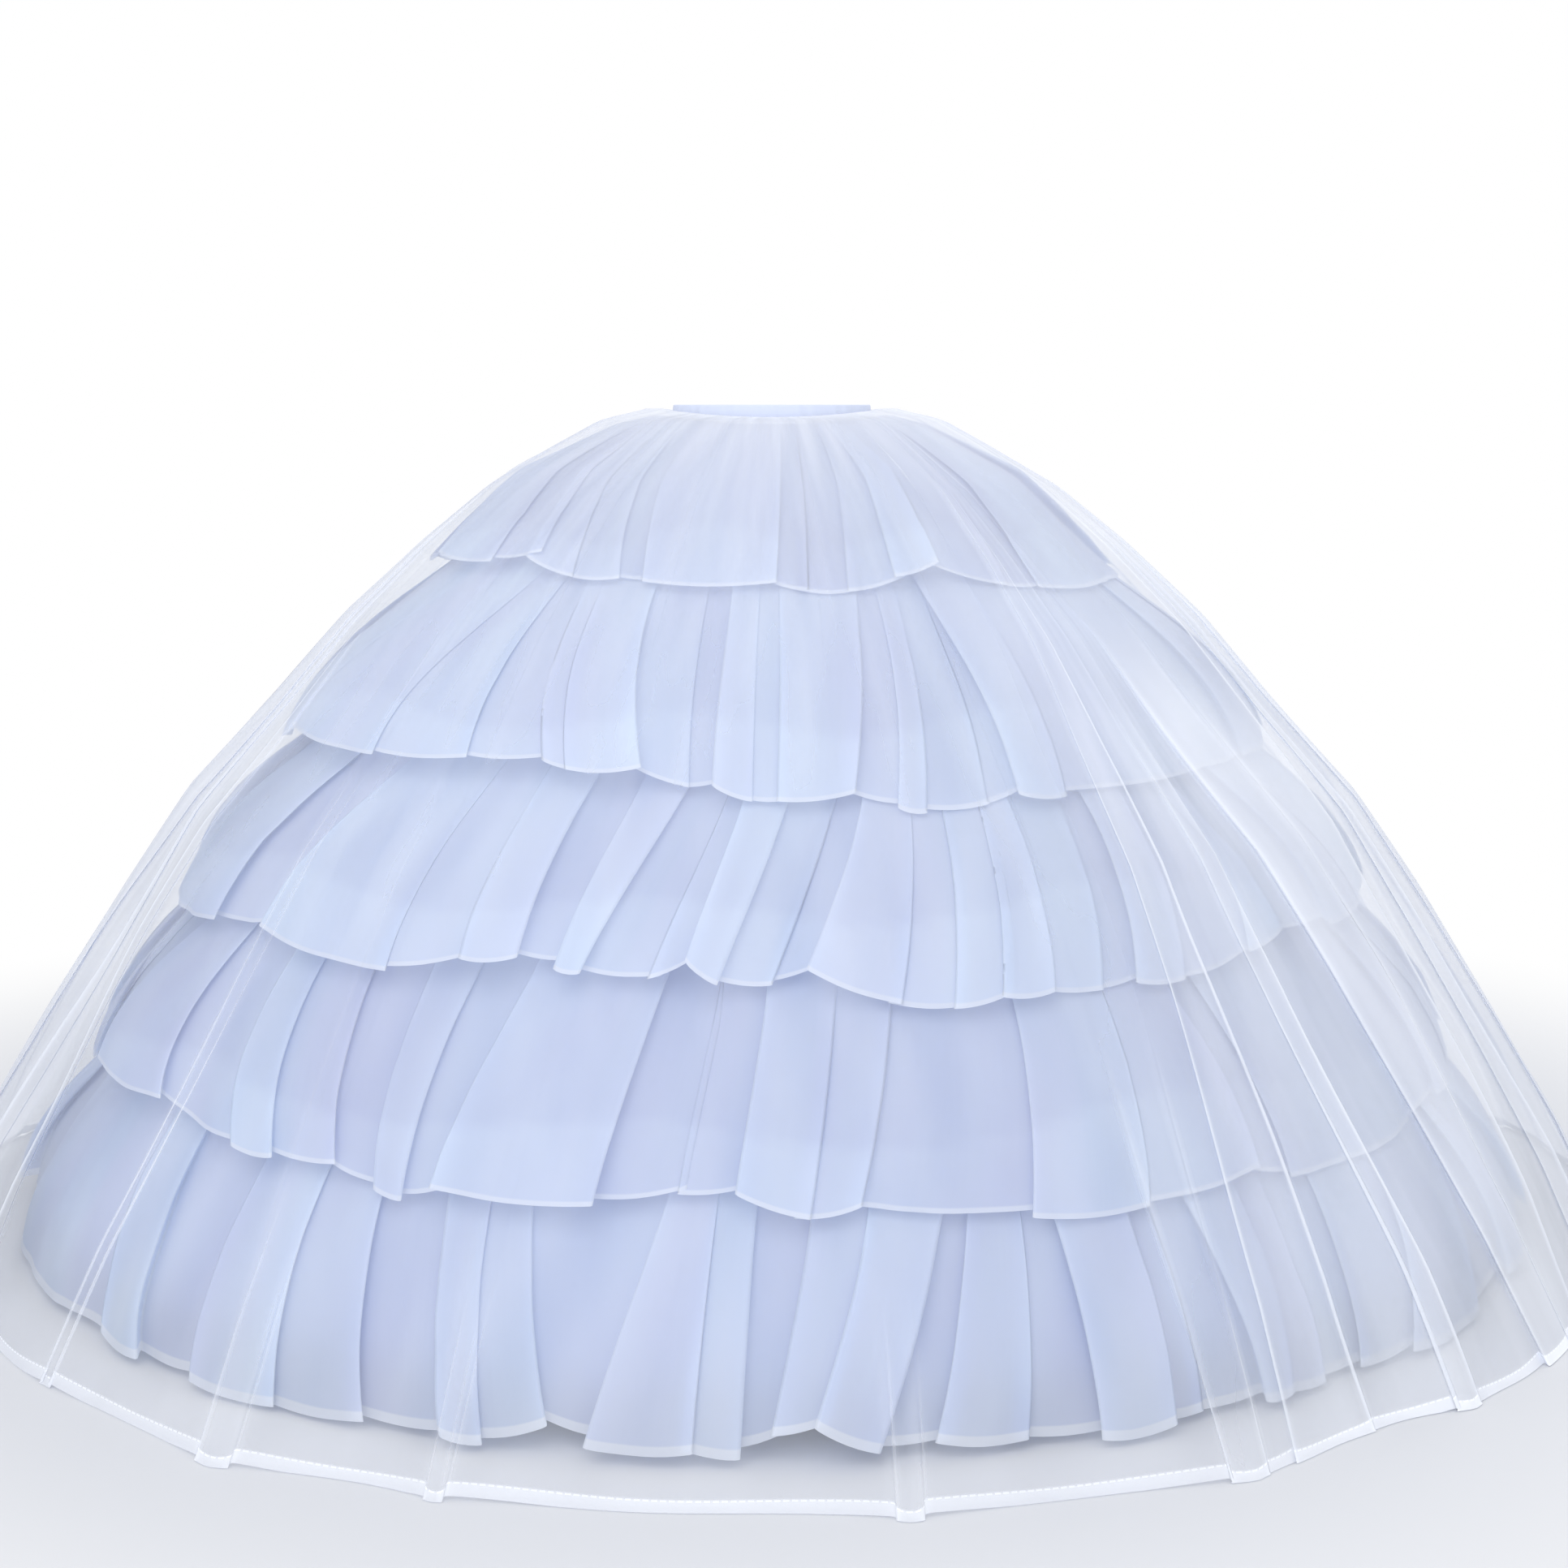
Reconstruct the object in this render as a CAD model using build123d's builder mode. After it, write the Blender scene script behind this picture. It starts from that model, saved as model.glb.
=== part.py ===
"""Hooped crinoline petticoat: a cloth cage on four spring hoops, dressed with gathered flounces and an overlay.

Millimetres, +Z up. The origin is on the floor, under the centre of the waist opening. The wearer faces -Y.
"""

import os
from math import cos, degrees, hypot, pi, radians, sin

from build123d import *

# Cloth rings are made of flat gores, with the middle of a gore at the back
GORES = 36
GORE_ANGLE = 2 * pi / GORES
BACK = 90.0
SEAT_GAP = 0.05

# Waist: a soft elastic ring in a cloth band that is folded over its top
WAIST_TOP = 980.0
BAND_HEIGHT = 20.0
BAND_CLOTH = 2.0
BAND_FOLD = 1.0
WAIST_RADIUS = 117.5
ELASTIC_THICKNESS = 1.5
ELASTIC_HEIGHT = 22.0

# Foundation skirt: cones from hoop to hoop, measured on the inner face at the middle of a gore
FOUNDATION_CLOTH = 2.0
KNEE_HEIGHTS = (840.0, 560.0, 310.0)
KNEE_RADII = (334.0, 560.0, 728.0)
FOUNDATION_HEM_HEIGHT = 52.0
FOUNDATION_HEM_RADIUS = 872.0

# Hoops: flat spring strip that lies on the inside of the foundation, its ends joined at the back
HOOPS = len(KNEE_HEIGHTS) + 1
HOOP_WIDTH = 10.0
HOOP_THICKNESS = 1.2
HOOP_BELOW_KNEE = 6.0
HOOP_ABOVE_HEM = 18.0
HOOP_END_GAP = 2.0
JOINER_LENGTH = 24.0
JOINER_SHEET = 0.5

# Casings: tape round the inside of each hoop, tacked at the corners of its flats
CASING_WIDTH = 21.0
CASING_CLOTH = 1.0
CASING_FLATS = 32

# Flounces: heading height, hem height, and the radius of crests and valleys at the hem
FLOUNCE_CLOTH = 2.0
FLOUNCES = (
    (964.0, 788.0, 428.0, 402.0),
    (838.0, 585.0, 616.0, 577.0),
    (652.0, 412.0, 745.0, 700.0),
    (479.0, 216.0, 855.0, 808.0),
    (283.0, 22.0, 950.0, 900.0),
)
YOKE_HEIGHT = 892.0
YOKE_RADIUS = 300.0

# Overlay: sheer outer layer from the waist to the floor, with folds that deepen as it widens
OVERLAY_CLOTH = 1.5
OVERLAY_FOLD_DEPTH = 0.035
OVERLAY_HEIGHTS = (948.0, 880.0, 720.0, 500.0, 0.0)
OVERLAY_RADII = (222.0, 350.0, 530.0, 722.0, 1047.0)

# Folds: share of its gore that a crest panel and a valley panel keep flat at the hem
CREST_FLAT = 0.86
VALLEY_FLAT = 0.56

BAND_BOTTOM = WAIST_TOP - BAND_HEIGHT
BAND_TURN = BACK + degrees(GORE_ANGLE) / 2
BAND_OPENING = WAIST_RADIUS + SEAT_GAP
BAND_INSIDE = WAIST_RADIUS + ELASTIC_THICKNESS + SEAT_GAP
BAND_OUTSIDE = BAND_INSIDE + BAND_CLOTH
FOUNDATION_HEIGHTS = (BAND_BOTTOM, *KNEE_HEIGHTS, FOUNDATION_HEM_HEIGHT)
FOUNDATION_INSIDE = (BAND_INSIDE, *KNEE_RADII, FOUNDATION_HEM_RADIUS)
FOUNDATION_OUTSIDE = (BAND_OUTSIDE, *(radius + FOUNDATION_CLOTH for radius in FOUNDATION_INSIDE[1:]))


def polar(radius, angle, height):
    """Point at a radius, an angle in radians and a height."""
    return Vector(radius * cos(angle), radius * sin(angle), height)


def radial_plane(angle):
    """Upright plane through the axis: local X points outwards at the angle in degrees, local Y points up."""
    turn = radians(angle)
    return Plane(origin=(0, 0, 0), x_dir=(cos(turn), sin(turn), 0), z_dir=(sin(turn), -cos(turn), 0))


def flat_outline(flats, radius, height):
    """Corners of a level ring of flats, given the radius to the middle of a flat."""
    step = 2 * pi / flats
    corner_radius = radius / cos(step / 2)
    return [polar(corner_radius, radians(BACK) + (flat - 0.5) * step, height) for flat in range(flats)]


def fold_outline(crest_radius, valley_radius, height, first):
    """Corners of a folded edge: crest and valley panels in turn, one to a gore, a crest first if first is 0."""
    corners = []
    for gore in range(GORES):
        crest = (gore + first) % 2 == 0
        radius = crest_radius if crest else valley_radius
        half = GORE_ANGLE / 2 * (CREST_FLAT if crest else VALLEY_FLAT)
        middle = radians(BACK) + gore * GORE_ANGLE
        corners.append(polar(radius, middle - half, height))
        corners.append(polar(radius, middle + half, height))
    return corners


def flat_face(*corners):
    """Flat face on its corners."""
    return Face(Wire.make_polygon(corners, close=True))


def facets(upper, lower):
    """Flat facets between two edges. Where the lower one is folded, a flank fans out from each upper corner."""
    count = len(upper)
    faces = []
    for place in range(count):
        following = (place + 1) % count
        if len(lower) == count:
            faces.append(flat_face(upper[place], upper[following], lower[following], lower[place]))
        else:
            left, right = lower[2 * place], lower[2 * place + 1]
            faces.append(flat_face(upper[place], upper[following], right, left))
            faces.append(flat_face(upper[following], lower[2 * following], right))
    return faces


def rim(outer, inner):
    """Level rim between the outer and the inner edge of a cloth ring."""
    return Face(Wire.make_polygon(outer, close=True), [Wire.make_polygon(inner, close=True)])


def cloth_ring(outer_edges, inner_edges):
    """Closed solid of a ring of cloth, from its outer and inner edges in order from the top."""
    faces = [rim(outer_edges[0], inner_edges[0]), rim(outer_edges[-1], inner_edges[-1])]
    for edges in (outer_edges, inner_edges):
        for upper, lower in zip(edges, edges[1:]):
            faces.extend(facets(upper, lower))
    return Solid(Shell(faces))


def foundation_outside(height):
    """Outer radius of the foundation skirt at a height."""
    for place in range(len(FOUNDATION_HEIGHTS) - 1):
        top, bottom = FOUNDATION_HEIGHTS[place : place + 2]
        upper, lower = FOUNDATION_OUTSIDE[place : place + 2]
        if bottom <= height <= top:
            return upper + (lower - upper) * (top - height) / (top - bottom)
    raise ValueError(f"no foundation at height {height}")


def hoop_frame(number):
    """Upper outer corner of a hoop's section, and its directions down the cone and into the skirt."""
    place = min(number, HOOPS - 1)
    top, bottom = FOUNDATION_HEIGHTS[place : place + 2]
    upper, lower = FOUNDATION_INSIDE[place : place + 2]
    slant = hypot(lower - upper, top - bottom)
    down = ((lower - upper) / slant, (bottom - top) / slant)
    inward = (down[1], -down[0])
    along = HOOP_BELOW_KNEE if number < HOOPS else slant - HOOP_ABOVE_HEM - HOOP_WIDTH
    corner = (upper + along * down[0], top + along * down[1])
    return corner, down, inward


def on_hoop(frame, along, depth):
    """Point of a hoop's section, along the cone and into the skirt from the hoop's upper outer corner."""
    corner, down, inward = frame
    radius = corner[0] + along * down[0] + depth * inward[0]
    height = corner[1] + along * down[1] + depth * inward[1]
    return (radius, height)


os.makedirs("parts", exist_ok=True)

# Elastic: a round ring that hugs the waist
with BuildPart() as waist_elastic:
    with BuildSketch(Plane.XY.offset(WAIST_TOP - BAND_FOLD)):
        Circle(WAIST_RADIUS + ELASTIC_THICKNESS)
        Circle(WAIST_RADIUS, mode=Mode.SUBTRACT)
    extrude(amount=-ELASTIC_HEIGHT)
waist_elastic.part.label = "waist_elastic"
export_step(waist_elastic.part, "parts/waist_elastic.step")

# Waistband: outside the elastic, with its top folded inwards over it
with BuildPart() as waistband:
    with BuildSketch(Plane.XY.offset(BAND_BOTTOM)):
        RegularPolygon(BAND_OUTSIDE, GORES, major_radius=False, rotation=BAND_TURN)
        RegularPolygon(BAND_INSIDE, GORES, major_radius=False, rotation=BAND_TURN, mode=Mode.SUBTRACT)
    extrude(amount=BAND_HEIGHT)
    with BuildSketch(Plane.XY.offset(WAIST_TOP)):
        RegularPolygon(BAND_OUTSIDE, GORES, major_radius=False, rotation=BAND_TURN)
        RegularPolygon(BAND_OPENING, GORES, major_radius=False, rotation=BAND_TURN, mode=Mode.SUBTRACT)
    extrude(amount=-BAND_FOLD)
waistband.part.label = "waistband"
export_step(waistband.part, "parts/waistband.step")

# Foundation skirt: its gathered top edge is sewn to the lower edge of the waistband
with BuildPart() as foundation_skirt:
    outside = [flat_outline(GORES, r, z) for r, z in zip(FOUNDATION_OUTSIDE, FOUNDATION_HEIGHTS)]
    inside = [flat_outline(GORES, r, z) for r, z in zip(FOUNDATION_INSIDE, FOUNDATION_HEIGHTS)]
    add(cloth_ring(outside, inside))
foundation_skirt.part.label = "foundation_skirt"
export_step(foundation_skirt.part, "parts/foundation_skirt.step")

for number in range(1, HOOPS + 1):
    frame = hoop_frame(number)
    hoop_radius = frame[0][0]
    gap_angle = degrees(HOOP_END_GAP / hoop_radius)
    joiner_angle = degrees(JOINER_LENGTH / hoop_radius)

    # Hoop: sprung strip bent to the cone of the skirt, open by a small gap at the back
    with BuildPart() as hoop:
        with BuildSketch(radial_plane(BACK + gap_angle / 2)):
            with BuildLine():
                Polyline(
                    on_hoop(frame, 0, 0),
                    on_hoop(frame, HOOP_WIDTH, 0),
                    on_hoop(frame, HOOP_WIDTH, HOOP_THICKNESS),
                    on_hoop(frame, 0, HOOP_THICKNESS),
                    close=True,
                )
            make_face()
        revolve(axis=Axis.Z, revolution_arc=360 - gap_angle)
    hoop.part.label = f"hoop_{number}"
    export_step(hoop.part, f"parts/hoop_{number}.step")

    # Joiner: folded sheet clip that bridges the two ends of the hoop and grips its edges
    with BuildPart() as joiner:
        with BuildSketch(radial_plane(BACK - joiner_angle / 2)):
            with BuildLine():
                Polyline(
                    on_hoop(frame, -JOINER_SHEET, JOINER_SHEET / 2),
                    on_hoop(frame, -JOINER_SHEET, HOOP_THICKNESS + JOINER_SHEET),
                    on_hoop(frame, HOOP_WIDTH + JOINER_SHEET, HOOP_THICKNESS + JOINER_SHEET),
                    on_hoop(frame, HOOP_WIDTH + JOINER_SHEET, JOINER_SHEET / 2),
                    on_hoop(frame, HOOP_WIDTH, JOINER_SHEET / 2),
                    on_hoop(frame, HOOP_WIDTH, HOOP_THICKNESS),
                    on_hoop(frame, 0, HOOP_THICKNESS),
                    on_hoop(frame, 0, JOINER_SHEET / 2),
                    close=True,
                )
            make_face()
        revolve(axis=Axis.Z, revolution_arc=joiner_angle)
    joiner.part.label = f"hoop_joiner_{number}"
    export_step(joiner.part, f"parts/hoop_joiner_{number}.step")

    # Casing: its tacked corners touch the hoop, and its flats leave room for the joiner
    with BuildPart() as hoop_casing:
        edge = (CASING_WIDTH - HOOP_WIDTH) / 2
        outside = []
        inside = []
        for along in (-edge, HOOP_WIDTH + edge):
            radius, height = on_hoop(frame, along, HOOP_THICKNESS)
            flat_radius = radius * cos(pi / CASING_FLATS)
            outside.append(flat_outline(CASING_FLATS, flat_radius, height))
            inside.append(flat_outline(CASING_FLATS, flat_radius - CASING_CLOTH, height))
        add(cloth_ring(outside, inside))
    hoop_casing.part.label = f"hoop_casing_{number}"
    export_step(hoop_casing.part, f"parts/hoop_casing_{number}.step")

# Flounces: sewn on at a plain heading, from which the folds open to the hem, each crest over a valley below
for number, (heading, hem, crest, valley) in enumerate(FLOUNCES, start=1):
    with BuildPart() as flounce:
        seat = BAND_OUTSIDE if number == 1 else foundation_outside(heading)
        plain_edges = [(seat + SEAT_GAP, heading)]
        if number == 1:
            plain_edges.append((YOKE_RADIUS, YOKE_HEIGHT))
        inside = [flat_outline(GORES, radius, height) for radius, height in plain_edges]
        outside = [flat_outline(GORES, radius + FLOUNCE_CLOTH, height) for radius, height in plain_edges]
        inside.append(fold_outline(crest - FLOUNCE_CLOTH, valley - FLOUNCE_CLOTH, hem, number))
        outside.append(fold_outline(crest, valley, hem, number))
        add(cloth_ring(outside, inside))
    flounce.part.label = f"flounce_{number}"
    export_step(flounce.part, f"parts/flounce_{number}.step")

# Overlay: sewn over the heading of the first flounce, and its hem stands on the floor
with BuildPart() as overlay:
    heading_seat = (BAND_OUTSIDE + FLOUNCE_CLOTH + 2 * SEAT_GAP) / cos(GORE_ANGLE / 2)
    heading_radius = heading_seat / (1 - OVERLAY_FOLD_DEPTH) + OVERLAY_CLOTH
    outside = []
    inside = []
    for radius, height in zip((heading_radius, *OVERLAY_RADII), (FLOUNCES[0][0], *OVERLAY_HEIGHTS)):
        under = radius - OVERLAY_CLOTH
        outside.append(fold_outline(radius, radius * (1 - OVERLAY_FOLD_DEPTH), height, 0))
        inside.append(fold_outline(under, under * (1 - OVERLAY_FOLD_DEPTH), height, 0))
    add(cloth_ring(outside, inside))
overlay.part.label = "overlay"
export_step(overlay.part, "parts/overlay.step")
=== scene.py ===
"""Hooped crinoline petticoat: cloth, finishes, light and camera.

Metres, in the frame of the solids: the floor is z = 0 and the front of the skirt faces -Y.
A turn is the angle round the skirt in degrees, from the front towards the wearer's left hand.
"""

import math

import bpy
import numpy as np
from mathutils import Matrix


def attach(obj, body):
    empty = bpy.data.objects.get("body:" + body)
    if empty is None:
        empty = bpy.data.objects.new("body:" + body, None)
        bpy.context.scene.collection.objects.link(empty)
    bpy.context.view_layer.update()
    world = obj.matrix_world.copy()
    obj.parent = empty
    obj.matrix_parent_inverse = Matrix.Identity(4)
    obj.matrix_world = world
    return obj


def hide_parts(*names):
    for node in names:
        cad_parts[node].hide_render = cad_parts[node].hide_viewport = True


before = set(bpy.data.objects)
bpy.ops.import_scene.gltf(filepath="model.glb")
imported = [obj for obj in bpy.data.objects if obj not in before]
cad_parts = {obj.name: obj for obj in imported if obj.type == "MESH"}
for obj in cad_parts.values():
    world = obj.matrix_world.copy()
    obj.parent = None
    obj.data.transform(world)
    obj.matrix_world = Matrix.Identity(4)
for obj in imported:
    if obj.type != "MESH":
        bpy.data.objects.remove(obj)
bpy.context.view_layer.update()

# Waist, lining and hoops, as in the solids
WAIST_TOP = 0.980
BAND_BOTTOM = 0.960
BAND_OUTSIDE = 0.1211
BAND_OPENING = 0.1176
LINING = ((0.1200, 0.960), (0.3350, 0.840), (0.5610, 0.560), (0.7290, 0.310), (0.8730, 0.052))
HOOP_WIDTH = 0.010
HOOP_BELOW_KNEE = 0.006
HOOP_ABOVE_HEM = 0.018
CASING_MARGIN = 0.0055

# Flounces: line from heading to hem (radius, height), how far crests and valleys stand from it at the hem, how far the
# cloth puffs out between, and how much paler (above 0) or deeper (below 0) its layers look
FLOUNCES = (
    {"line": ((0.1222, 0.9600), (0.1300, 0.9680), (0.1450, 0.9670), (0.1900, 0.9545), (0.3020, 0.8920),
              (0.4150, 0.7880)),
     "depth": 0.0080, "puff": 0.006, "tone": -0.38},
    {"line": ((0.3390, 0.838), (0.5965, 0.585)), "depth": 0.0105, "puff": 0.020, "tone": 0.0},
    {"line": ((0.4910, 0.652), (0.7225, 0.412)), "depth": 0.0115, "puff": 0.018, "tone": 0.02},
    {"line": ((0.6170, 0.479), (0.8315, 0.216)), "depth": 0.0120, "puff": 0.018, "tone": -0.30},
    {"line": ((0.7490, 0.283), (0.9250, 0.022)), "depth": 0.0130, "puff": 0.016, "tone": -0.08},
)

# Fold edges on the front of each flounce: turn at the hem, how far the edge leans over at the heading (degrees),
# how far the hem dips there (mm), and how high the cloth to its right lies between valley (0) and crest (1)
FOLD_EDGES = (
    ((-70.8, -10, -20, 0.8), (-49.1, -10, -16, 0.3), (-41.3, -10, -26, 0.7), (-31.1, -12, -3, 0.6),
     (-23.0, -12, -4, 0.0),
     (-19.8, -8, -2, 1.0), (1.4, 3, -2, 0.35), (6.3, 3, 8, 0.1), (11.1, 6, 9, 0.55), (18.2, 2, -6, 1.0),
     (26.5, 0, -24, 0.4), (40.4, 4, 9, 0.1), (45.6, 6, 12, 0.6), (70.8, 8, 14, 0.2)),
    ((-67.3, 10, -28, 0.9), (-45.2, 6, -18, 0.7), (-32.1, -3, -26, 0.45), (-23.7, -8, -30, 0.8), (-20.9, -8, -22, 1.0),
     (-12.1, -7, -28, 0.25), (-7.8, -2, -5, 0.0), (-5.9, 0, -12, 0.95), (-1.4, 0, 7, 0.7), (0.4, 1, 6, 0.9),
     (8.8, 6, -2, 0.3), (12.5, 5, 15, 0.55), (16.0, 5, 22, 0.25), (22.8, 2, 16, 0.1), (25.2, -2, 7, 0.9),
     (31.7, 2, 14, 0.6), (53.7, -6, 4, 0.3)),
    ((-76.8, 6, 8, 0.9), (-58.2, 4, 1, 0.3), (-49.3, 6, -12, 0.9), (-32.4, 2, 8, 0.75), (-25.7, 1, -15, 0.95),
     (-20.0, 2, -22, 0.1), (-17.3, 5, -14, 0.95), (-14.6, 9, -11, 0.2), (-9.9, 8, -4, 0.35), (-6.7, 6, -30, 1.0),
     (-3.8, 9, -1, 0.3), (0.5, 10, 0, 0.1), (2.7, 10, -20, 0.9), (10.7, 6, 20, 0.75), (14.2, 5, 25, 0.9),
     (18.1, 5, 15, 1.0), (23.5, 3, 15, 0.5), (28.7, 5, 24, 0.2), (30.9, 5, 18, 0.8), (36.6, 6, 22, 0.4),
     (44.7, 5, 10, 0.7)),
    ((-67.2, 2, -24, 0.8), (-51.6, -5, -26, 0.4), (-41.3, -8, -10, 1.0), (-36.6, -8, -8, 0.6), (-31.1, -7, -13, 0.3),
     (-28.3, -3, 5, 0.8), (-25.4, 0, 12, 0.3), (-23.4, 4, -7, 1.0), (-11.3, 4, -6, 0.1), (-6.3, 3, -14, 0.2),
     (-2.4, 3, -22, 1.0), (3.0, 4, 3, 0.8), (6.4, 6, -8, 0.45), (17.5, 4, 14, 0.9), (27.1, 3, 20, 0.7),
     (36.8, -2, 1, 0.2), (39.9, -2, 24, 0.6), (58.5, -8, 20, 0.3)),
    ((-73.6, 0, 8, 0.6), (-49.2, -6, 5, 0.9), (-43.7, -6, 12, 0.3), (-38.5, -2, 10, 1.0), (-31.1, -3, 14, 0.7),
     (-24.6, -5, 10, 0.2), (-19.6, -5, 6, 0.9), (-16.6, -4, 12, 0.6), (-12.8, -5, -10, 0.1), (-10.8, 5, 4, 1.0),
     (-4.1, 1, 5, 0.8), (-1.4, 1, 10, 0.15), (-0.1, 4, -12, 0.7), (2.4, 6, -24, 1.0), (6.6, 8, 6, 0.2),
     (9.5, 6, 2, 0.6), (15.7, 3, 9, 0.3), (19.5, 0, 12, 1.0), (24.9, 1, 8, 0.3), (27.6, 0, 10, 0.15),
     (31.3, -2, 8, 0.9), (34.0, 2, 7, 0.6), (37.4, 1, 12, 0.2), (40.6, 3, 12, 0.5), (45.1, 8, 10, 0.9),
     (55.5, 8, 12, 0.3)),
)

# Overlay: line from the waist to the floor on the sides
OVERLAY_LINE = (
    (0.1225, 0.9640), (0.1280, 0.9730), (0.1380, 0.9765), (0.1520, 0.9745), (0.1930, 0.9660), (0.2125, 0.9605),
    (0.2660, 0.9310),
    (0.3480, 0.8825), (0.4315, 0.8140), (0.5250, 0.7260), (0.6100, 0.6280), (0.7185, 0.5110), (0.8020, 0.3900),
    (0.8860, 0.2600), (0.9680, 0.1300), (1.0360, 0.0),
)
# Its fold edges, as above, and the share of the way down at which each begins
OVERLAY_EDGES = (
    (-93, 2, 0, 0.6, 0.10), (-80, 2, 0, 0.1, 0.15), (-73, 0, 0, 0.5, 0.20),
    (-69, -3, 0, 0.15, 0.20), (-62, -6, 0, 0.4, 0.30), (-59.5, -6, 0, 0.0, 0.30), (-46, 4, 0, 0.25, 0.45),
    (-44.6, 4, 0, 0.0, 0.45),
    (-30.7, 0, 0, 0.6, 0.78), (-28.4, 0, 0, 0.0, 0.78), (-17.4, 4, 0, 0.5, 0.82), (-16.3, 4, 0, 0.0, 0.82),
    (6.3, 0, 0, 0.6, 0.84), (7.7, 0, 0, 0.0, 0.84), (23.8, -3, 0, 0.35, 0.68), (26.4, 2, 0, 0.1, 0.68),
    (28.2, 7, 0, 0.45, 0.12),
    (35.0, 0.5, 0, 0.15, 0.15), (40.4, -3, 0, 0.5, 0.38), (42.6, -4, 0, 0.1, 0.38), (50.0, -11, 0, 0.95, 0.32),
    (54.5, -4, 0, 0.75, 0.38),
    (59.0, 12, 0, 0.35, 0.18), (65.5, 8, 0, 0.7, 0.15), (70.5, 6, 0, 0.3, 0.20), (77.0, 5, 0, 0.75, 0.10),
    (91.0, 2, 0, 0.3, 0.10),
)
# Turns at which its hem stands out in a corner
HEM_CORNERS = (-29.5, -16.8, 7.0, 25.2, 41.6)

# Hems as sewn
FLOUNCE_HEM = 0.005
LOWEST_FLOUNCE_HEM = 0.009
OVERLAY_HEM = 0.013

# Organza: colour of one layer and of many, the second also where painted light lifts the shade, and the tint that comes
# and goes
ORGANZA_COLOURS = ("#CEDAF1", "#E3F0FF", "#FDF8FC")

# Creases and gathers of every folded layer
CREASES_PER_METRE = 14
CREASE_HEIGHT = 0.0024
GATHER_WIDTH = 0.06
GATHER_DEPTH = 0.0016
GATHER_FADE = 0.16


def spread(count, ends):
    """Places from 0 to 1 that crowd towards both ends, so that folds stay crisp. 0 is even, 1 is most crowded."""
    even = np.arange(count) / count
    return (1 - ends) * even + ends * (0.5 - 0.5 * np.cos(math.pi * even))


def ease(low, high, value):
    """Soft step from 0 at low to 1 at high."""
    t = np.clip((value - low) / (high - low), 0, 1)
    return t * t * (3 - 2 * t)


def round_off(values, passes, wrap):
    """Rounds a closed line of values by a few passes. wrap is what is added to the values after one round."""
    for _ in range(passes):
        before = np.roll(values, 1)
        after = np.roll(values, -1)
        before[0] -= wrap
        after[-1] += wrap
        values = (before + 2 * values + after) / 4
    return values


def even_out(values, passes):
    """Rounds off what stands out on a grid of rows and closed columns, outwards only."""
    for _ in range(passes):
        values = np.maximum(values, (np.roll(values, 1, axis=1) + 2 * values + np.roll(values, -1, axis=1)) / 4)
        padded = np.pad(values, ((1, 1), (0, 0)), mode="edge")
        values = np.maximum(values, (padded[:-2] + 2 * values + padded[2:]) / 4)
    return values


def fall_line(corners, places, puff, soften):
    """Radius and height at places from 0 to 1 along a line through the corners, puffed out towards the lower half."""
    corners = np.array(corners)
    steps = np.hypot(*np.diff(corners, axis=0).T)
    reach = np.concatenate(([0], np.cumsum(steps)))
    fine = np.linspace(0, reach[-1], 400)
    radius = np.interp(fine, reach, corners[:, 0])
    height = np.interp(fine, reach, corners[:, 1])
    window = np.hanning(2 * soften + 1)
    window /= window.sum()
    for line in (radius, height):
        padded = np.concatenate((2 * line[0] - line[soften:0:-1], line, 2 * line[-1] - line[-2 : -soften - 2 : -1]))
        line[:] = np.convolve(padded, window, mode="valid")
    share = fine / reach[-1]
    lift = puff * 6.75 * share**2 * (1 - share)
    return (
        np.interp(places, share, radius + lift),
        np.interp(places, share, height + 0.5 * lift),
        reach[-1],
    )


def fill_round(edges, radius, rng, raised, sunk, dip, latest):
    """Adds fold edges round the sides and the back to those of the front, in the same manner."""
    edges = list(edges)
    turn = edges[-1][0]
    last = edges[0][0] + 360
    high = edges[-1][3] < 0.5
    while True:
        width = rng.uniform(*raised) if high else rng.uniform(*sunk)
        turn += math.degrees(width / radius)
        if turn > last - math.degrees(0.05 / radius):
            return edges
        level = rng.uniform(0.7, 1.0) if high else rng.uniform(0.0, 0.4)
        edges.append((turn, rng.normal(0, 4), rng.normal(0, dip), level, rng.uniform(0, latest)))
        high = not high if rng.random() < 0.85 else high


def fold_corners(edges, radius, rng, overlaps):
    """Corners of the folded line round the skirt.

    At an edge the higher cloth lies over the lower, which turns back under it.
    """
    turns = [edge[0] for edge in edges]
    levels = [edge[3] for edge in edges]
    count = len(edges)
    laps = [math.degrees(rng.uniform(*overlaps) / radius) for _ in range(count)]
    for place in range(count):
        following = (place + 1) % count
        width = (turns[following] - turns[place]) % 360
        if levels[place] > levels[place - 1] and levels[place] > levels[following]:
            room = 0.75 * width / (laps[place] + laps[following])
            laps[place] *= min(1, room)
            laps[following] *= min(1, room)
        elif levels[place] < levels[place - 1]:
            laps[place] = min(laps[place], 0.6 * width)
    corners = []
    for place, (turn, lean, dip, level, *fade) in enumerate(edges):
        before = levels[place - 1]
        begin = fade[0] if fade else 0.0
        hidden = dip + rng.uniform(-6, 1)
        if level > before:
            corners.append((turn, laps[place], lean, hidden, before, begin))
            corners.append((turn, 0.0, lean, dip, level, begin))
        else:
            corners.append((turn, 0.0, lean, dip, before, begin))
            corners.append((turn, -laps[place], lean, hidden, level, begin))
    return np.array(corners)


def waves(across, down, width, rng, count, shortest, longest):
    """Soft unevenness of cloth: a sum of waves, mostly along the folds, that closes after one width."""
    total = np.zeros_like(across)
    for _ in range(count):
        length = math.exp(rng.uniform(math.log(shortest), math.log(longest)))
        round_count = max(1, round(width / length))
        tilt = rng.normal(0, 0.45) / length
        total += length * np.sin(2 * math.pi * (round_count * across / width + tilt * down) + rng.uniform(0, 7))
    return total / total.std()


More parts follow.
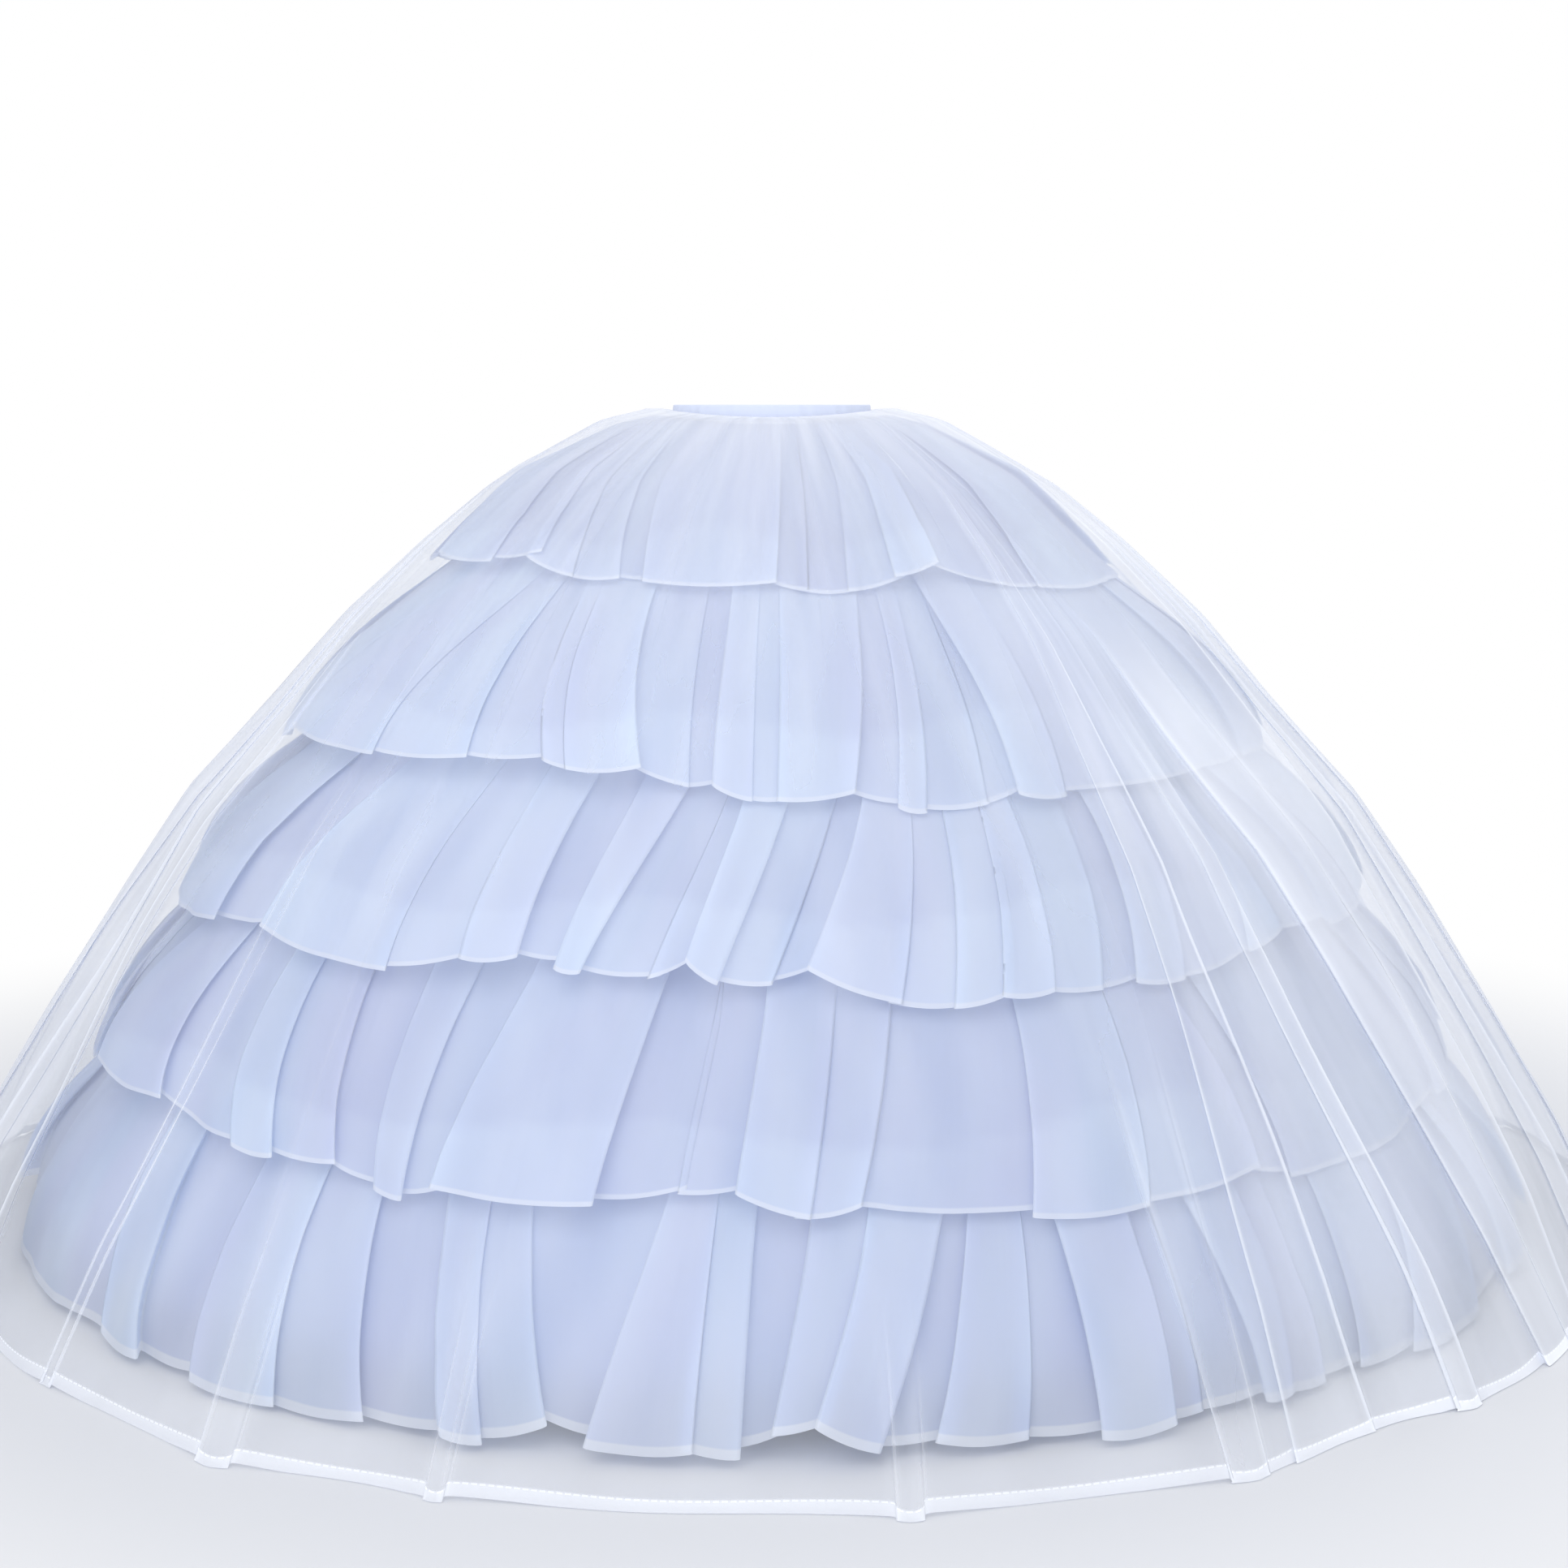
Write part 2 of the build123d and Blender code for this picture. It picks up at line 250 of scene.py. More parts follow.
def creases(across, down, width, length, rng, count):
    """Little ridges where crisp cloth was once bent."""
    total = np.zeros_like(across)
    for _ in range(count):
        middle = rng.uniform(0.02, 0.98) * width
        height = rng.uniform(0.35, 1.0) * length
        slope = rng.normal(0, 0.6)
        half = rng.uniform(0.02, 0.06)
        along = (down - height) / half
        away = across - middle - slope * (down - height)
        total += rng.choice((-1, 1)) * np.exp(-((away / 0.013) ** 2)) * np.exp(-along**2)
    return total


def cloth_ring(name, radius, turn, height, across, down, width, shades):
    """Mesh of a closed ring of cloth, from the heading down, with a UV map in metres: along the hem, and up from it.

    shades holds a value between 0 and 1 for each point, under the name by which the finish reads it.
    """
    rows, columns = radius.shape
    angle = np.radians(turn)
    points = np.stack((radius * np.sin(angle), -radius * np.cos(angle), height), axis=-1).reshape(-1, 3)
    row, column = np.meshgrid(np.arange(rows - 1), np.arange(columns), indexing="ij")
    beside = (column + 1) % columns
    quads = np.stack(
        (row * columns + column, (row + 1) * columns + column, (row + 1) * columns + beside, row * columns + beside),
        axis=-1,
    ).reshape(-1, 4)
    mesh = bpy.data.meshes.new(name)
    mesh.vertices.add(len(points))
    mesh.vertices.foreach_set("co", points.ravel())
    mesh.loops.add(quads.size)
    mesh.loops.foreach_set("vertex_index", quads.ravel().astype(np.int32))
    mesh.polygons.add(len(quads))
    mesh.polygons.foreach_set("loop_start", np.arange(0, quads.size, 4, dtype=np.int32))
    mesh.polygons.foreach_set("use_smooth", np.ones(len(quads), dtype=bool))
    uv_across = across.ravel()[quads]
    uv_across[:, 2:] = np.where(beside.reshape(-1, 1) == 0, width, uv_across[:, 2:])
    uv = np.stack((uv_across, (down.max() - down).ravel()[quads]), axis=-1)
    mesh.uv_layers.new(name="cloth")
    mesh.update()
    mesh.uv_layers["cloth"].data.foreach_set("uv", uv.ravel())
    for shade, values in shades.items():
        attribute = mesh.attributes.new(shade, "FLOAT", "POINT")
        attribute.data.foreach_set("value", np.clip(values, 0, 1).astype(np.float32).ravel())
    mesh.validate()
    piece = bpy.data.objects.new(name, mesh)
    bpy.context.scene.collection.objects.link(piece)
    return piece


class Underlayer:
    """Outermost radius of the cloth that is already there, by turn and height, for the next layer to rest on."""

    def __init__(self):
        self.turns = 720
        self.step = 0.008
        self.reach = np.zeros((self.turns, 130))

    def add(self, radius, turn, height):
        layer = np.zeros_like(self.reach)
        for lower in (0, 1 / 4, 2 / 4, 3 / 4, 1):
            for right in (0, 1 / 3, 2 / 3, 1):
                between = []
                for values in (radius, turn, height):
                    values = (1 - lower) * values[:-1] + lower * values[1:]
                    between.append((1 - right) * values[:, :-1] + right * values[:, 1:])
                across = np.round(np.mod(between[1], 360) / 360 * self.turns).astype(int) % self.turns
                up = np.clip(np.round(between[2] / self.step).astype(int), 0, self.reach.shape[1] - 1)
                np.maximum.at(layer, (across, up), between[0])
        for shift in (-1, 1):
            np.maximum(self.reach, np.roll(layer, shift, axis=0), out=self.reach)
        np.maximum(self.reach, layer, out=self.reach)

    def clear(self, radius, turn, height, gap):
        """Radius moved out to where it clears what is underneath."""
        smooth = (np.roll(self.reach, 1, axis=0) + 2 * self.reach + np.roll(self.reach, -1, axis=0)) / 4
        across = np.mod(turn, 360) / 360 * self.turns
        up = np.clip(height / self.step, 0, self.reach.shape[1] - 1.001)
        left, low = np.floor(across).astype(int), np.floor(up).astype(int)
        aside, above = across - left, up - low
        left, right = left % self.turns, (left + 1) % self.turns
        lower = smooth[left, low] * (1 - aside) + smooth[right, low] * aside
        upper = smooth[left, low + 1] * (1 - aside) + smooth[right, low + 1] * aside
        return np.maximum(radius, lower * (1 - above) + upper * above + gap)


def folded_ring(
    line, soften, edges, depth, puff, seed, overlaps, opening, spacing, rows, crowd,
    under, gap, loose, wave, wave_lengths, ripple,
):
    """One gathered layer of cloth: fold edges that start plain at the heading and open out towards the hem.

    Where it meets what is under it, its folds are pressed flat (loose is 0) or keep their depth (loose is 1).
    """
    rng = np.random.default_rng(seed)
    hem_radius = line[-1][0]
    corners = fold_corners(edges, hem_radius, rng, overlaps)
    count = len(corners)
    start, share = [], []
    for place in range(count):
        here = corners[place]
        there = corners[(place + 1) % count]
        gap_turn = (there[0] + there[1] - here[0] - here[1] + 180) % 360 - 180
        run = math.hypot(math.radians(gap_turn) * hem_radius, (there[4] - here[4]) * 2 * depth)
        samples = max(5, round(run / spacing))
        start.append(np.full(samples, place))
        share.append(spread(samples, 0.55))
    start = np.concatenate(start)
    share = np.concatenate(share)
    end = (start + 1) % count
    fold = (start % 2) == 0
    crown = np.where(fold, 0, np.sin(math.pi * share))

    places = np.concatenate((np.linspace(0, 1, rows)[:-1] ** crowd, [1 - 0.25 / rows, 1]))
    mean_radius, mean_height, length = fall_line(line, places, puff, soften)
    turn = np.zeros((len(places), len(start)))
    level = np.zeros_like(turn)
    dip = np.zeros_like(turn)
    for row, place in enumerate(places):
        grown = ease(corners[:, 5], corners[:, 5] + opening, place) ** 0.8
        lap = -0.3 + 1.3 * ease(corners[:, 5], corners[:, 5] + 0.5, place)
        corner_turn = corners[:, 0] + corners[:, 1] * lap + corners[:, 2] * (1 - place)
        first = corner_turn[start]
        step = (corner_turn[end] + np.where(end < start, 360, 0)) - first
        turn[row] = round_off(first + step * share, 2, 360)
        corner_level = (corners[:, 4] - 0.5) * grown
        raised = corner_level[start] + (corner_level[end] - corner_level[start]) * share
        level[row] = round_off(raised + 0.15 * crown * raised, 2, 0)
        sag = corners[start, 3] + (corners[end, 3] - corners[start, 3]) * share
        dip[row] = round_off(sag + 5 * crown, 3, 0) * place**1.4
    across_hem = np.concatenate(([0], np.cumsum(np.hypot(
        np.radians(np.diff(turn[-1])) * hem_radius, np.diff(level[-1]) * 2 * depth))))
    width = across_hem[-1] + spacing
    across = np.broadcast_to(across_hem, turn.shape)
    down = np.broadcast_to((places * length)[:, None], turn.shape)
    open_out = ease(0.05, 0.7, places)[:, None]
    # Unevenness goes by place round the skirt and not by cloth length, so that layers of a fold don't cut each other
    round_way = np.radians(turn)
    girth = 2 * math.pi * hem_radius
    around = np.mod(round_way, 2 * math.pi) * hem_radius
    uneven = waves(around, down, girth, rng, 26, *wave_lengths) * wave * open_out
    ridges = creases(around, down, girth, length, rng, int(CREASES_PER_METRE * girth))
    uneven += ridges * CREASE_HEIGHT * (1 - loose) * open_out
    sway = 2.2 * np.sin(9 * round_way + 1)
    gathers = np.sin(round(width / GATHER_WIDTH) * round_way + sway + 1.4 * np.sin(23 * round_way))
    gathers *= GATHER_DEPTH * (np.exp(-places / GATHER_FADE) * (places > 0))[:, None]
    out, lift = ripple(turn, places[:, None])
    radius = mean_radius[:, None] + level * 2 * depth + uneven + gathers + out
    height = np.maximum(mean_height[:, None] - dip / 1000 + lift, 0.001)
    lowest = radius - loose * (2 * level + 0.6) * depth
    push = even_out(under.clear(lowest, turn, height, gap) - lowest, round(24 * loose))
    radius = np.where(places[:, None] > 0.02, radius + push, radius)
    crest = corners[start, 4] + (corners[end, 4] - corners[start, 4]) * share
    from_edge = np.minimum(across_hem - np.maximum.accumulate(np.where(share == 0, across_hem, 0)), 1)
    to_edge = np.roll(np.where(share == 0, across_hem, np.inf), -1)
    to_edge[-1] = width
    to_edge = np.minimum.accumulate(to_edge[::-1])[::-1] - across_hem
    begun = ease(corners[start, 5], corners[start, 5] + 0.12, places[:, None])
    edge = np.where(fold, 0.4, np.exp(-np.minimum(from_edge, to_edge) / 0.003)) * begun
    behind = np.zeros(len(start))
    for place in range(1, count, 2):
        for _ in range(rng.integers(1, 4)):
            first = rng.uniform(-0.1, 0.85)
            inside = (start == place) & (share > first) & (share < first + rng.uniform(0.1, 0.45))
            behind[inside] += rng.uniform(-1, 1)
    return radius, turn, height, across, down, width, length, crest * begun, edge, behind * begun


def linear(colour):
    """sRGB hex colour as linear red, green, blue and alpha."""
    parts = [int(colour[place : place + 2], 16) / 255 for place in (1, 3, 5)]
    return [*(part / 12.92 if part <= 0.04045 else ((part + 0.055) / 1.055) ** 2.4 for part in parts), 1.0]


def add(material, kind, settings, inputs):
    """Adds a node to a material, with its settings, and with a value or another node's output on each named input."""
    tree = material.node_tree
    node = tree.nodes.new(kind)
    for key, value in settings.items():
        setattr(node, key, value)
    for key, value in inputs.items():
        if isinstance(value, bpy.types.NodeSocket):
            tree.links.new(value, node.inputs[key])
        else:
            node.inputs[key].default_value = value
    return node


def new_material(name):
    """Empty node material."""
    material = bpy.data.materials.new(name)
    material.use_nodes = True
    material.node_tree.nodes.clear()
    return material


def polyester_organza(name, single, layered, tint, hem_width):
    """Crisp woven organza, bluish white: paler where the cloth lies double or more, at the rolled hem, and where
    painted light is laid on under each hem and towards the sides.
    """
    material = new_material(name)
    uv = add(material, "ShaderNodeUVMap", {"uv_map": "cloth"}, {})
    place = add(material, "ShaderNodeSeparateXYZ", {}, {"Vector": uv.outputs["UV"]})
    # The hem is rolled twice, so three layers lie on each other there
    hem = add(material, "ShaderNodeMapRange", {"interpolation_type": "SMOOTHSTEP"}, {
        "Value": place.outputs["Y"], "From Min": hem_width + 0.0012, "From Max": hem_width - 0.0012, "To Max": 0.8})
    # Slubs are about 0.3 mm wide and 30 mm long; they are drawn 4 mm wide and 120 mm long, so that they show
    warp = add(material, "ShaderNodeMapping", {}, {"Vector": uv.outputs["UV"], "Scale": (1 / 0.004, 1 / 0.12, 1)})
    slub = add(material, "ShaderNodeTexNoise", {}, {"Vector": warp.outputs["Vector"], "Scale": 1.0, "Detail": 0.0})
    # This attribute holds how much cloth lies here, and painted light as well: paler under each hem and towards the
    # sides
    layers_and_painted_light = add(material, "ShaderNodeAttribute", {"attribute_name": "layers_and_painted_light"}, {})
    dense = add(material, "ShaderNodeMath", {"operation": "MULTIPLY_ADD", "use_clamp": True}, {
        0: slub.outputs["Fac"], 1: 0.10, 2: layers_and_painted_light.outputs["Fac"]})
    warmth = add(material, "ShaderNodeAttribute", {"attribute_name": "warmth"}, {})
    white = add(material, "ShaderNodeMix", {"data_type": "RGBA"}, {
        "Factor": dense.outputs["Value"], 6: linear(single), 7: linear(layered)})
    tinted = add(material, "ShaderNodeMix", {"data_type": "RGBA", "blend_type": "MULTIPLY"}, {
        "Factor": warmth.outputs["Fac"], 6: white.outputs[2], 7: linear(tint)})
    colour = add(material, "ShaderNodeMix", {"data_type": "RGBA"}, {
        "Factor": hem.outputs["Result"], 6: tinted.outputs[2], 7: linear("#F4F8FF")})
    face = add(material, "ShaderNodeBsdfPrincipled", {}, {
        "Base Color": colour.outputs[2], "Roughness": 0.55, "Specular IOR Level": 0.2})
    through = add(material, "ShaderNodeBsdfTranslucent", {}, {"Color": colour.outputs[2]})
    cloth = add(material, "ShaderNodeMixShader", {}, {0: 0.45, 1: face.outputs["BSDF"], 2: through.outputs["BSDF"]})
    add(material, "ShaderNodeOutputMaterial", {}, {"Surface": cloth.outputs["Shader"]})
    return material


def nylon_tulle(name, colour, hem_width):
    """Very sheer fine net: almost clear, denser where it is gathered, with a turned hem held by one row of stitches."""
    material = new_material(name)
    uv = add(material, "ShaderNodeUVMap", {"uv_map": "cloth"}, {})
    place = add(material, "ShaderNodeSeparateXYZ", {}, {"Vector": uv.outputs["UV"]})
    hem = add(material, "ShaderNodeMapRange", {"interpolation_type": "SMOOTHSTEP"}, {
        "Value": place.outputs["Y"], "From Min": hem_width + 0.0015, "From Max": hem_width - 0.0015, "To Max": 0.35})
    # Stitches 4 mm long and 1.5 mm wide, in a row near the upper edge of the hem
    beat = add(material, "ShaderNodeMath", {"operation": "PINGPONG"}, {0: place.outputs["X"], 1: 0.004})
    dash = add(material, "ShaderNodeMath", {"operation": "GREATER_THAN"}, {0: beat.outputs["Value"], 1: 0.0012})
    row = add(material, "ShaderNodeMath", {"operation": "COMPARE"}, {
        0: place.outputs["Y"], 1: hem_width - 0.001, 2: 0.0009})
    stitch = add(material, "ShaderNodeMath", {"operation": "MULTIPLY"}, {
        0: dash.outputs["Value"], 1: row.outputs["Value"]})
    sewn = add(material, "ShaderNodeMath", {"operation": "MULTIPLY_ADD"}, {
        0: stitch.outputs["Value"], 1: 0.25, 2: hem.outputs["Result"]})
    cover = add(material, "ShaderNodeAttribute", {"attribute_name": "cover"}, {})
    dense = add(material, "ShaderNodeMath", {"operation": "ADD", "use_clamp": True}, {
        0: cover.outputs["Fac"], 1: sewn.outputs["Value"]})
    face = add(material, "ShaderNodeBsdfPrincipled", {}, {
        "Base Color": linear(colour), "Roughness": 0.6, "Specular IOR Level": 0.1})
    clear = add(material, "ShaderNodeBsdfTransparent", {}, {})
    shown = add(material, "ShaderNodeMixShader", {}, {
        0: dense.outputs["Value"], 1: clear.outputs["BSDF"], 2: face.outputs["BSDF"]})
    add(material, "ShaderNodeOutputMaterial", {}, {"Surface": shown.outputs["Shader"]})
    return material


def cotton_cloth(name, pale, deep, thread, stitch_rows):
    """Plain woven cotton: matt, with threads that cross, and rows of stitches where it is sewn down."""
    material = new_material(name)
    uv = add(material, "ShaderNodeUVMap", {"uv_map": "cloth"}, {})
    place = add(material, "ShaderNodeSeparateXYZ", {}, {"Vector": uv.outputs["UV"]})
    weave = add(material, "ShaderNodeMapping", {}, {
        "Vector": uv.outputs["UV"], "Scale": (math.pi / thread, math.pi / thread, 1)})
    threads = add(material, "ShaderNodeSeparateXYZ", {}, {"Vector": weave.outputs["Vector"]})
    over = add(material, "ShaderNodeMath", {"operation": "SINE"}, {0: threads.outputs["X"]})
    under = add(material, "ShaderNodeMath", {"operation": "SINE"}, {0: threads.outputs["Y"]})
    crossing = add(material, "ShaderNodeMath", {"operation": "MULTIPLY"}, {
        0: over.outputs["Value"], 1: under.outputs["Value"]})
    spot = add(material, "ShaderNodeTexCoord", {}, {})
    patch = add(material, "ShaderNodeTexNoise", {}, {"Vector": spot.outputs["Object"], "Scale": 9.0, "Detail": 3.0})
    colour = add(material, "ShaderNodeMix", {"data_type": "RGBA"}, {
        "Factor": patch.outputs["Fac"], 6: linear(pale), 7: linear(deep)})
    shown_colour = colour.outputs[2]
    for row_height in stitch_rows:
        # Stitches 3 mm long with a 1 mm step between them
        beat = add(material, "ShaderNodeMath", {"operation": "PINGPONG"}, {0: place.outputs["X"], 1: 0.002})
        dash = add(material, "ShaderNodeMath", {"operation": "GREATER_THAN"}, {0: beat.outputs["Value"], 1: 0.0005})
        row = add(material, "ShaderNodeMath", {"operation": "COMPARE"}, {
            0: place.outputs["Y"], 1: row_height, 2: 0.0005})
        stitch = add(material, "ShaderNodeMath", {"operation": "MULTIPLY"}, {
            0: dash.outputs["Value"], 1: row.outputs["Value"]})
        sewn = add(material, "ShaderNodeMix", {"data_type": "RGBA"}, {
            "Factor": stitch.outputs["Value"], 6: shown_colour, 7: linear("#9FA9C4")})
        shown_colour = sewn.outputs[2]
    bump = add(material, "ShaderNodeBump", {}, {
        "Height": crossing.outputs["Value"], "Strength": 0.15, "Distance": 0.0005})
    face = add(material, "ShaderNodeBsdfPrincipled", {}, {
        "Base Color": shown_colour, "Roughness": 0.85, "Specular IOR Level": 0.2,
        "Sheen Weight": 0.1, "Sheen Roughness": 0.5, "Normal": bump.outputs["Normal"]})
    add(material, "ShaderNodeOutputMaterial", {}, {"Surface": face.outputs["BSDF"]})
    return material


def ribbed_elastic():
    """Woven elastic: ribs 2.5 mm apart round the waist."""
    material = new_material("woven_elastic")
    spot = add(material, "ShaderNodeTexCoord", {}, {})
    ribs = add(material, "ShaderNodeTexWave", {"bands_direction": "Z"}, {
        "Vector": spot.outputs["Object"], "Scale": 2 * math.pi / 20 / 0.0025, "Distortion": 0.3, "Detail": 1.0})
    colour = add(material, "ShaderNodeMix", {"data_type": "RGBA"}, {
        "Factor": ribs.outputs["Fac"], 6: linear("#C9D0E4"), 7: linear("#E4E8F4")})
    bump = add(material, "ShaderNodeBump", {}, {"Height": ribs.outputs["Fac"], "Strength": 0.4, "Distance": 0.0006})
    face = add(material, "ShaderNodeBsdfPrincipled", {}, {
        "Base Color": colour.outputs[2], "Roughness": 0.75, "Sheen Weight": 0.1, "Normal": bump.outputs["Normal"]})
    add(material, "ShaderNodeOutputMaterial", {}, {"Surface": face.outputs["BSDF"]})
    return material


def coated_spring_strip():
    """Spring strip in a white plastic coat: satin, slightly uneven where the coat was drawn on."""
    material = new_material("coated_spring_strip")
    spot = add(material, "ShaderNodeTexCoord", {}, {})
    streak = add(material, "ShaderNodeTexNoise", {}, {"Vector": spot.outputs["Object"], "Scale": 220.0, "Detail": 3.0})
    rough = add(material, "ShaderNodeMapRange", {}, {"Value": streak.outputs["Fac"], "To Min": 0.28, "To Max": 0.48})
    colour = add(material, "ShaderNodeMix", {"data_type": "RGBA"}, {
        "Factor": streak.outputs["Fac"], 6: linear("#E3E5EA"), 7: linear("#F1F2F4")})
    face = add(material, "ShaderNodeBsdfPrincipled", {}, {
        "Base Color": colour.outputs[2], "Roughness": rough.outputs["Result"], "IOR": 1.5})
    add(material, "ShaderNodeOutputMaterial", {}, {"Surface": face.outputs["BSDF"]})
    return material


def folded_steel():
    """Thin plated steel sheet: brushed along its length, a little dull."""
    material = new_material("plated_steel_sheet")
    spot = add(material, "ShaderNodeTexCoord", {}, {})
    brush = add(material, "ShaderNodeMapping", {}, {"Vector": spot.outputs["Object"], "Scale": (60, 60, 4000)})
    lines = add(material, "ShaderNodeTexNoise", {}, {"Vector": brush.outputs["Vector"], "Scale": 1.0, "Detail": 2.0})
    rough = add(material, "ShaderNodeMapRange", {}, {"Value": lines.outputs["Fac"], "To Min": 0.25, "To Max": 0.5})
    colour = add(material, "ShaderNodeMix", {"data_type": "RGBA"}, {
        "Factor": lines.outputs["Fac"], 6: linear("#A9ACB2"), 7: linear("#C6C9CE")})
    face = add(material, "ShaderNodeBsdfPrincipled", {}, {
        "Base Color": colour.outputs[2], "Metallic": 1.0, "Roughness": rough.outputs["Result"]})
    add(material, "ShaderNodeOutputMaterial", {}, {"Surface": face.outputs["BSDF"]})
    return material


def finish_piece(piece, material, nodes):
    """Gives a cloth piece its finish, ties it to the root body, and hides the solids that it stands for."""
    piece.data.materials.append(material)
    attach(piece, "root")
    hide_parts(*nodes)


def plain_ring(name, line, columns, ripple):
    """Smooth ring of cloth on a line of (radius, height) from the top. ripple gives its unevenness by row and turn."""
    line = np.array(line)
    turn = np.broadcast_to(np.arange(columns) * 360 / columns - 180, (len(line), columns))
    reach = np.concatenate(([0], np.cumsum(np.hypot(*np.diff(line, axis=0).T))))
    width = 2 * math.pi * line[:, 0].max()
    across = (turn + 180) / 360 * width
    down = np.broadcast_to(reach[:, None], turn.shape)
    radius = line[:, :1] + ripple(turn, down)
    height = np.broadcast_to(line[:, 1:], turn.shape)
    return cloth_ring(name, radius, turn, height, across, down, width, {}), radius, turn, height


under = Underlayer()

# Lining: taut between the hoops, gathered under the waistband
lining_line = []
for (upper, top), (lower, bottom) in zip(LINING, LINING[1:]):
    for share in np.arange(0, 1, 1 / 14):
        pull = 0.004 * math.sin(math.pi * share) if upper > 0.2 else 0.0
        lining_line.append((upper + (lower - upper) * share - pull, top + (bottom - top) * share))
lining_line.append(LINING[-1])
lining, *lining_shape = plain_ring(
    "lining", lining_line, 432,
    lambda turn, down: 0.0016 * np.exp(-down / 0.09) * np.sin(np.radians(turn * 54)) * ease(0, 0.01, down),
)
under.add(*lining_shape)
lining_cloth = cotton_cloth("lining_cotton", "#DAE1F2", "#D0D8EC", 0.0012, (0.006,))
finish_piece(lining, lining_cloth, ["foundation_skirt"])

# Casings: tape over the inside of each hoop, sewn down along both edges
casing_cloth = cotton_cloth("casing_tape", "#DDE3F2", "#CCD5EA", 0.0009, (0.002, 0.0205))
for number in range(1, 5):
    place = min(number, 3)
    (upper, top), (lower, bottom) = LINING[place : place + 2]
    slant = math.hypot(lower - upper, top - bottom)
    down_line = ((lower - upper) / slant, (bottom - top) / slant)
    inward = (down_line[1], -down_line[0])
    first = HOOP_BELOW_KNEE if number < 4 else slant - HOOP_ABOVE_HEM - HOOP_WIDTH
    section = []
    for along, depth in (
        (HOOP_WIDTH + CASING_MARGIN, 0.0011), (HOOP_WIDTH + 0.003, 0.0014), (HOOP_WIDTH + 0.001, 0.0030),
        (HOOP_WIDTH / 2, 0.0034), (-0.001, 0.0030), (-0.003, 0.0014), (-CASING_MARGIN, 0.0011),
    ):
        section.append((
            upper + (first + along) * down_line[0] + depth * inward[0],
            top + (first + along) * down_line[1] + depth * inward[1],
        ))
    casing, *_ = plain_ring(
        f"hoop_casing_tape_{number}", section, 288,
        lambda turn, down: 0.0003 * np.sin(np.radians(turn * 72)),
    )
    radius = section[3][0]
    finish_piece(casing, casing_cloth, [f"hoop_casing_{number}"])


def waist_fall(turn, reach):
    """How far the gathers at the waist lie lower on the front and the back than on the sides, at a reach in metres."""
    return -0.010 * np.cos(np.radians(turn)) ** 2 * (1 - ease(0.02, 0.10, reach))


# Flounces, from the lowest up, each resting on what is under it
organza = polyester_organza("polyester_organza", *ORGANZA_COLOURS, FLOUNCE_HEM)
wide_hem_organza = polyester_organza("wide_hem_organza", *ORGANZA_COLOURS, LOWEST_FLOUNCE_HEM)
for number in range(5, 0, -1):
    shape = FLOUNCES[number - 1]
    rng = np.random.default_rng(40 + number)
    edges = fill_round(
        FOLD_EDGES[number - 1], shape["line"][-1][0], rng,
        raised=(0.070, 0.150), sunk=(0.025, 0.085), dip=9, latest=0,
    )
    radius, turn, height, across, down, width, length, crest, edge, behind = folded_ring(
        shape["line"], soften=20, edges=edges, depth=shape["depth"], puff=shape["puff"], seed=60 + number,
        overlaps=(0.014, 0.030), opening=0.6, spacing=0.0085, rows=36, crowd=1.15,
        under=under, gap=0.003, loose=0.3, wave=0.0022, wave_lengths=(0.07, 0.40),
        ripple=lambda turn, place: (0.0, waist_fall(turn, 0.35 * place) if number == 1 else 0.0),
    )
    under.add(radius, turn, height)
    # The heading of the next flounce shows through as one more layer
    layers_and_painted_light = 0.05 + shape["tone"] + 0.45 * crest + 0.14 * behind + 0.45 * edge
    if number < 5:
        over_heading = height - FLOUNCES[number]["line"][0][1] + 0.012 * np.sin(9 * np.radians(turn))
        layers_and_painted_light = layers_and_painted_light + 0.40 * ease(0.006, -0.008, over_heading)
    if number > 1:
        # Painted light: paler just under the hem of the flounce above, to lift the shade that falls there
        layers_and_painted_light = layers_and_painted_light + 0.25 * ease(-0.07, 0.02, height - FLOUNCES[number - 2]["line"][-1][1])
    # Painted light: paler towards the sides, where less light from the front lamp falls; the last term is a random
    # unevenness
    layers_and_painted_light = layers_and_painted_light + 0.22 * np.sin(np.radians(turn)) ** 2 + 0.07 * waves(across, down, width, rng, 20, 0.05, 0.3)
    warmth = 0.5 + 0.3 * behind + 0.25 * waves(across, down, width, rng, 14, 0.12, 0.6)
    flounce = cloth_ring(
        f"organza_flounce_{number}", radius, turn, height, across, down, width, {"layers_and_painted_light": layers_and_painted_light, "warmth": warmth})
    finish_piece(flounce, wide_hem_organza if number == 5 else organza, [f"flounce_{number}"])


def smooth_front(turn, first, full):
    """Share of the broad smooth front at a turn: it sets in from first to full, and ends on the wearer's left."""
    around = np.mod(turn + 180, 360) - 180
    return ease(first, full, around) * ease(45, 14, around)


def overlay_gathers(turn, place):
    """How far the gathered net stands out, and how far it falls at the waist."""
    angle = np.radians(turn)
    around = np.mod(turn + 180, 360) - 180
    front = smooth_front(turn, -72, -48)
    ripples = 0.6 + 0.4 * np.sin(5 * angle + 1.0) * np.sin(11 * angle)
    ripples *= 0.0016 * ease(85, 60, np.abs(around)) * (1 - 0.85 * front) * ease(0.03, 0.45, place)
    swing = 0.9 * np.sin(7 * angle + 2.5 * place) + 0.6 * np.sin(13 * angle - 3 * place + 1)
    hem = -0.008 + 0.012 * np.sin(8 * angle + 2) * (1 - ease(70, 50, np.abs(around)))
    for corner in HEM_CORNERS:
        hem = hem + 0.026 * np.exp(-np.abs(around - corner) / 4.5)
    return ripples * np.sin(54 * angle + swing) + hem * place**3, waist_fall(turn, 1.37 * place)


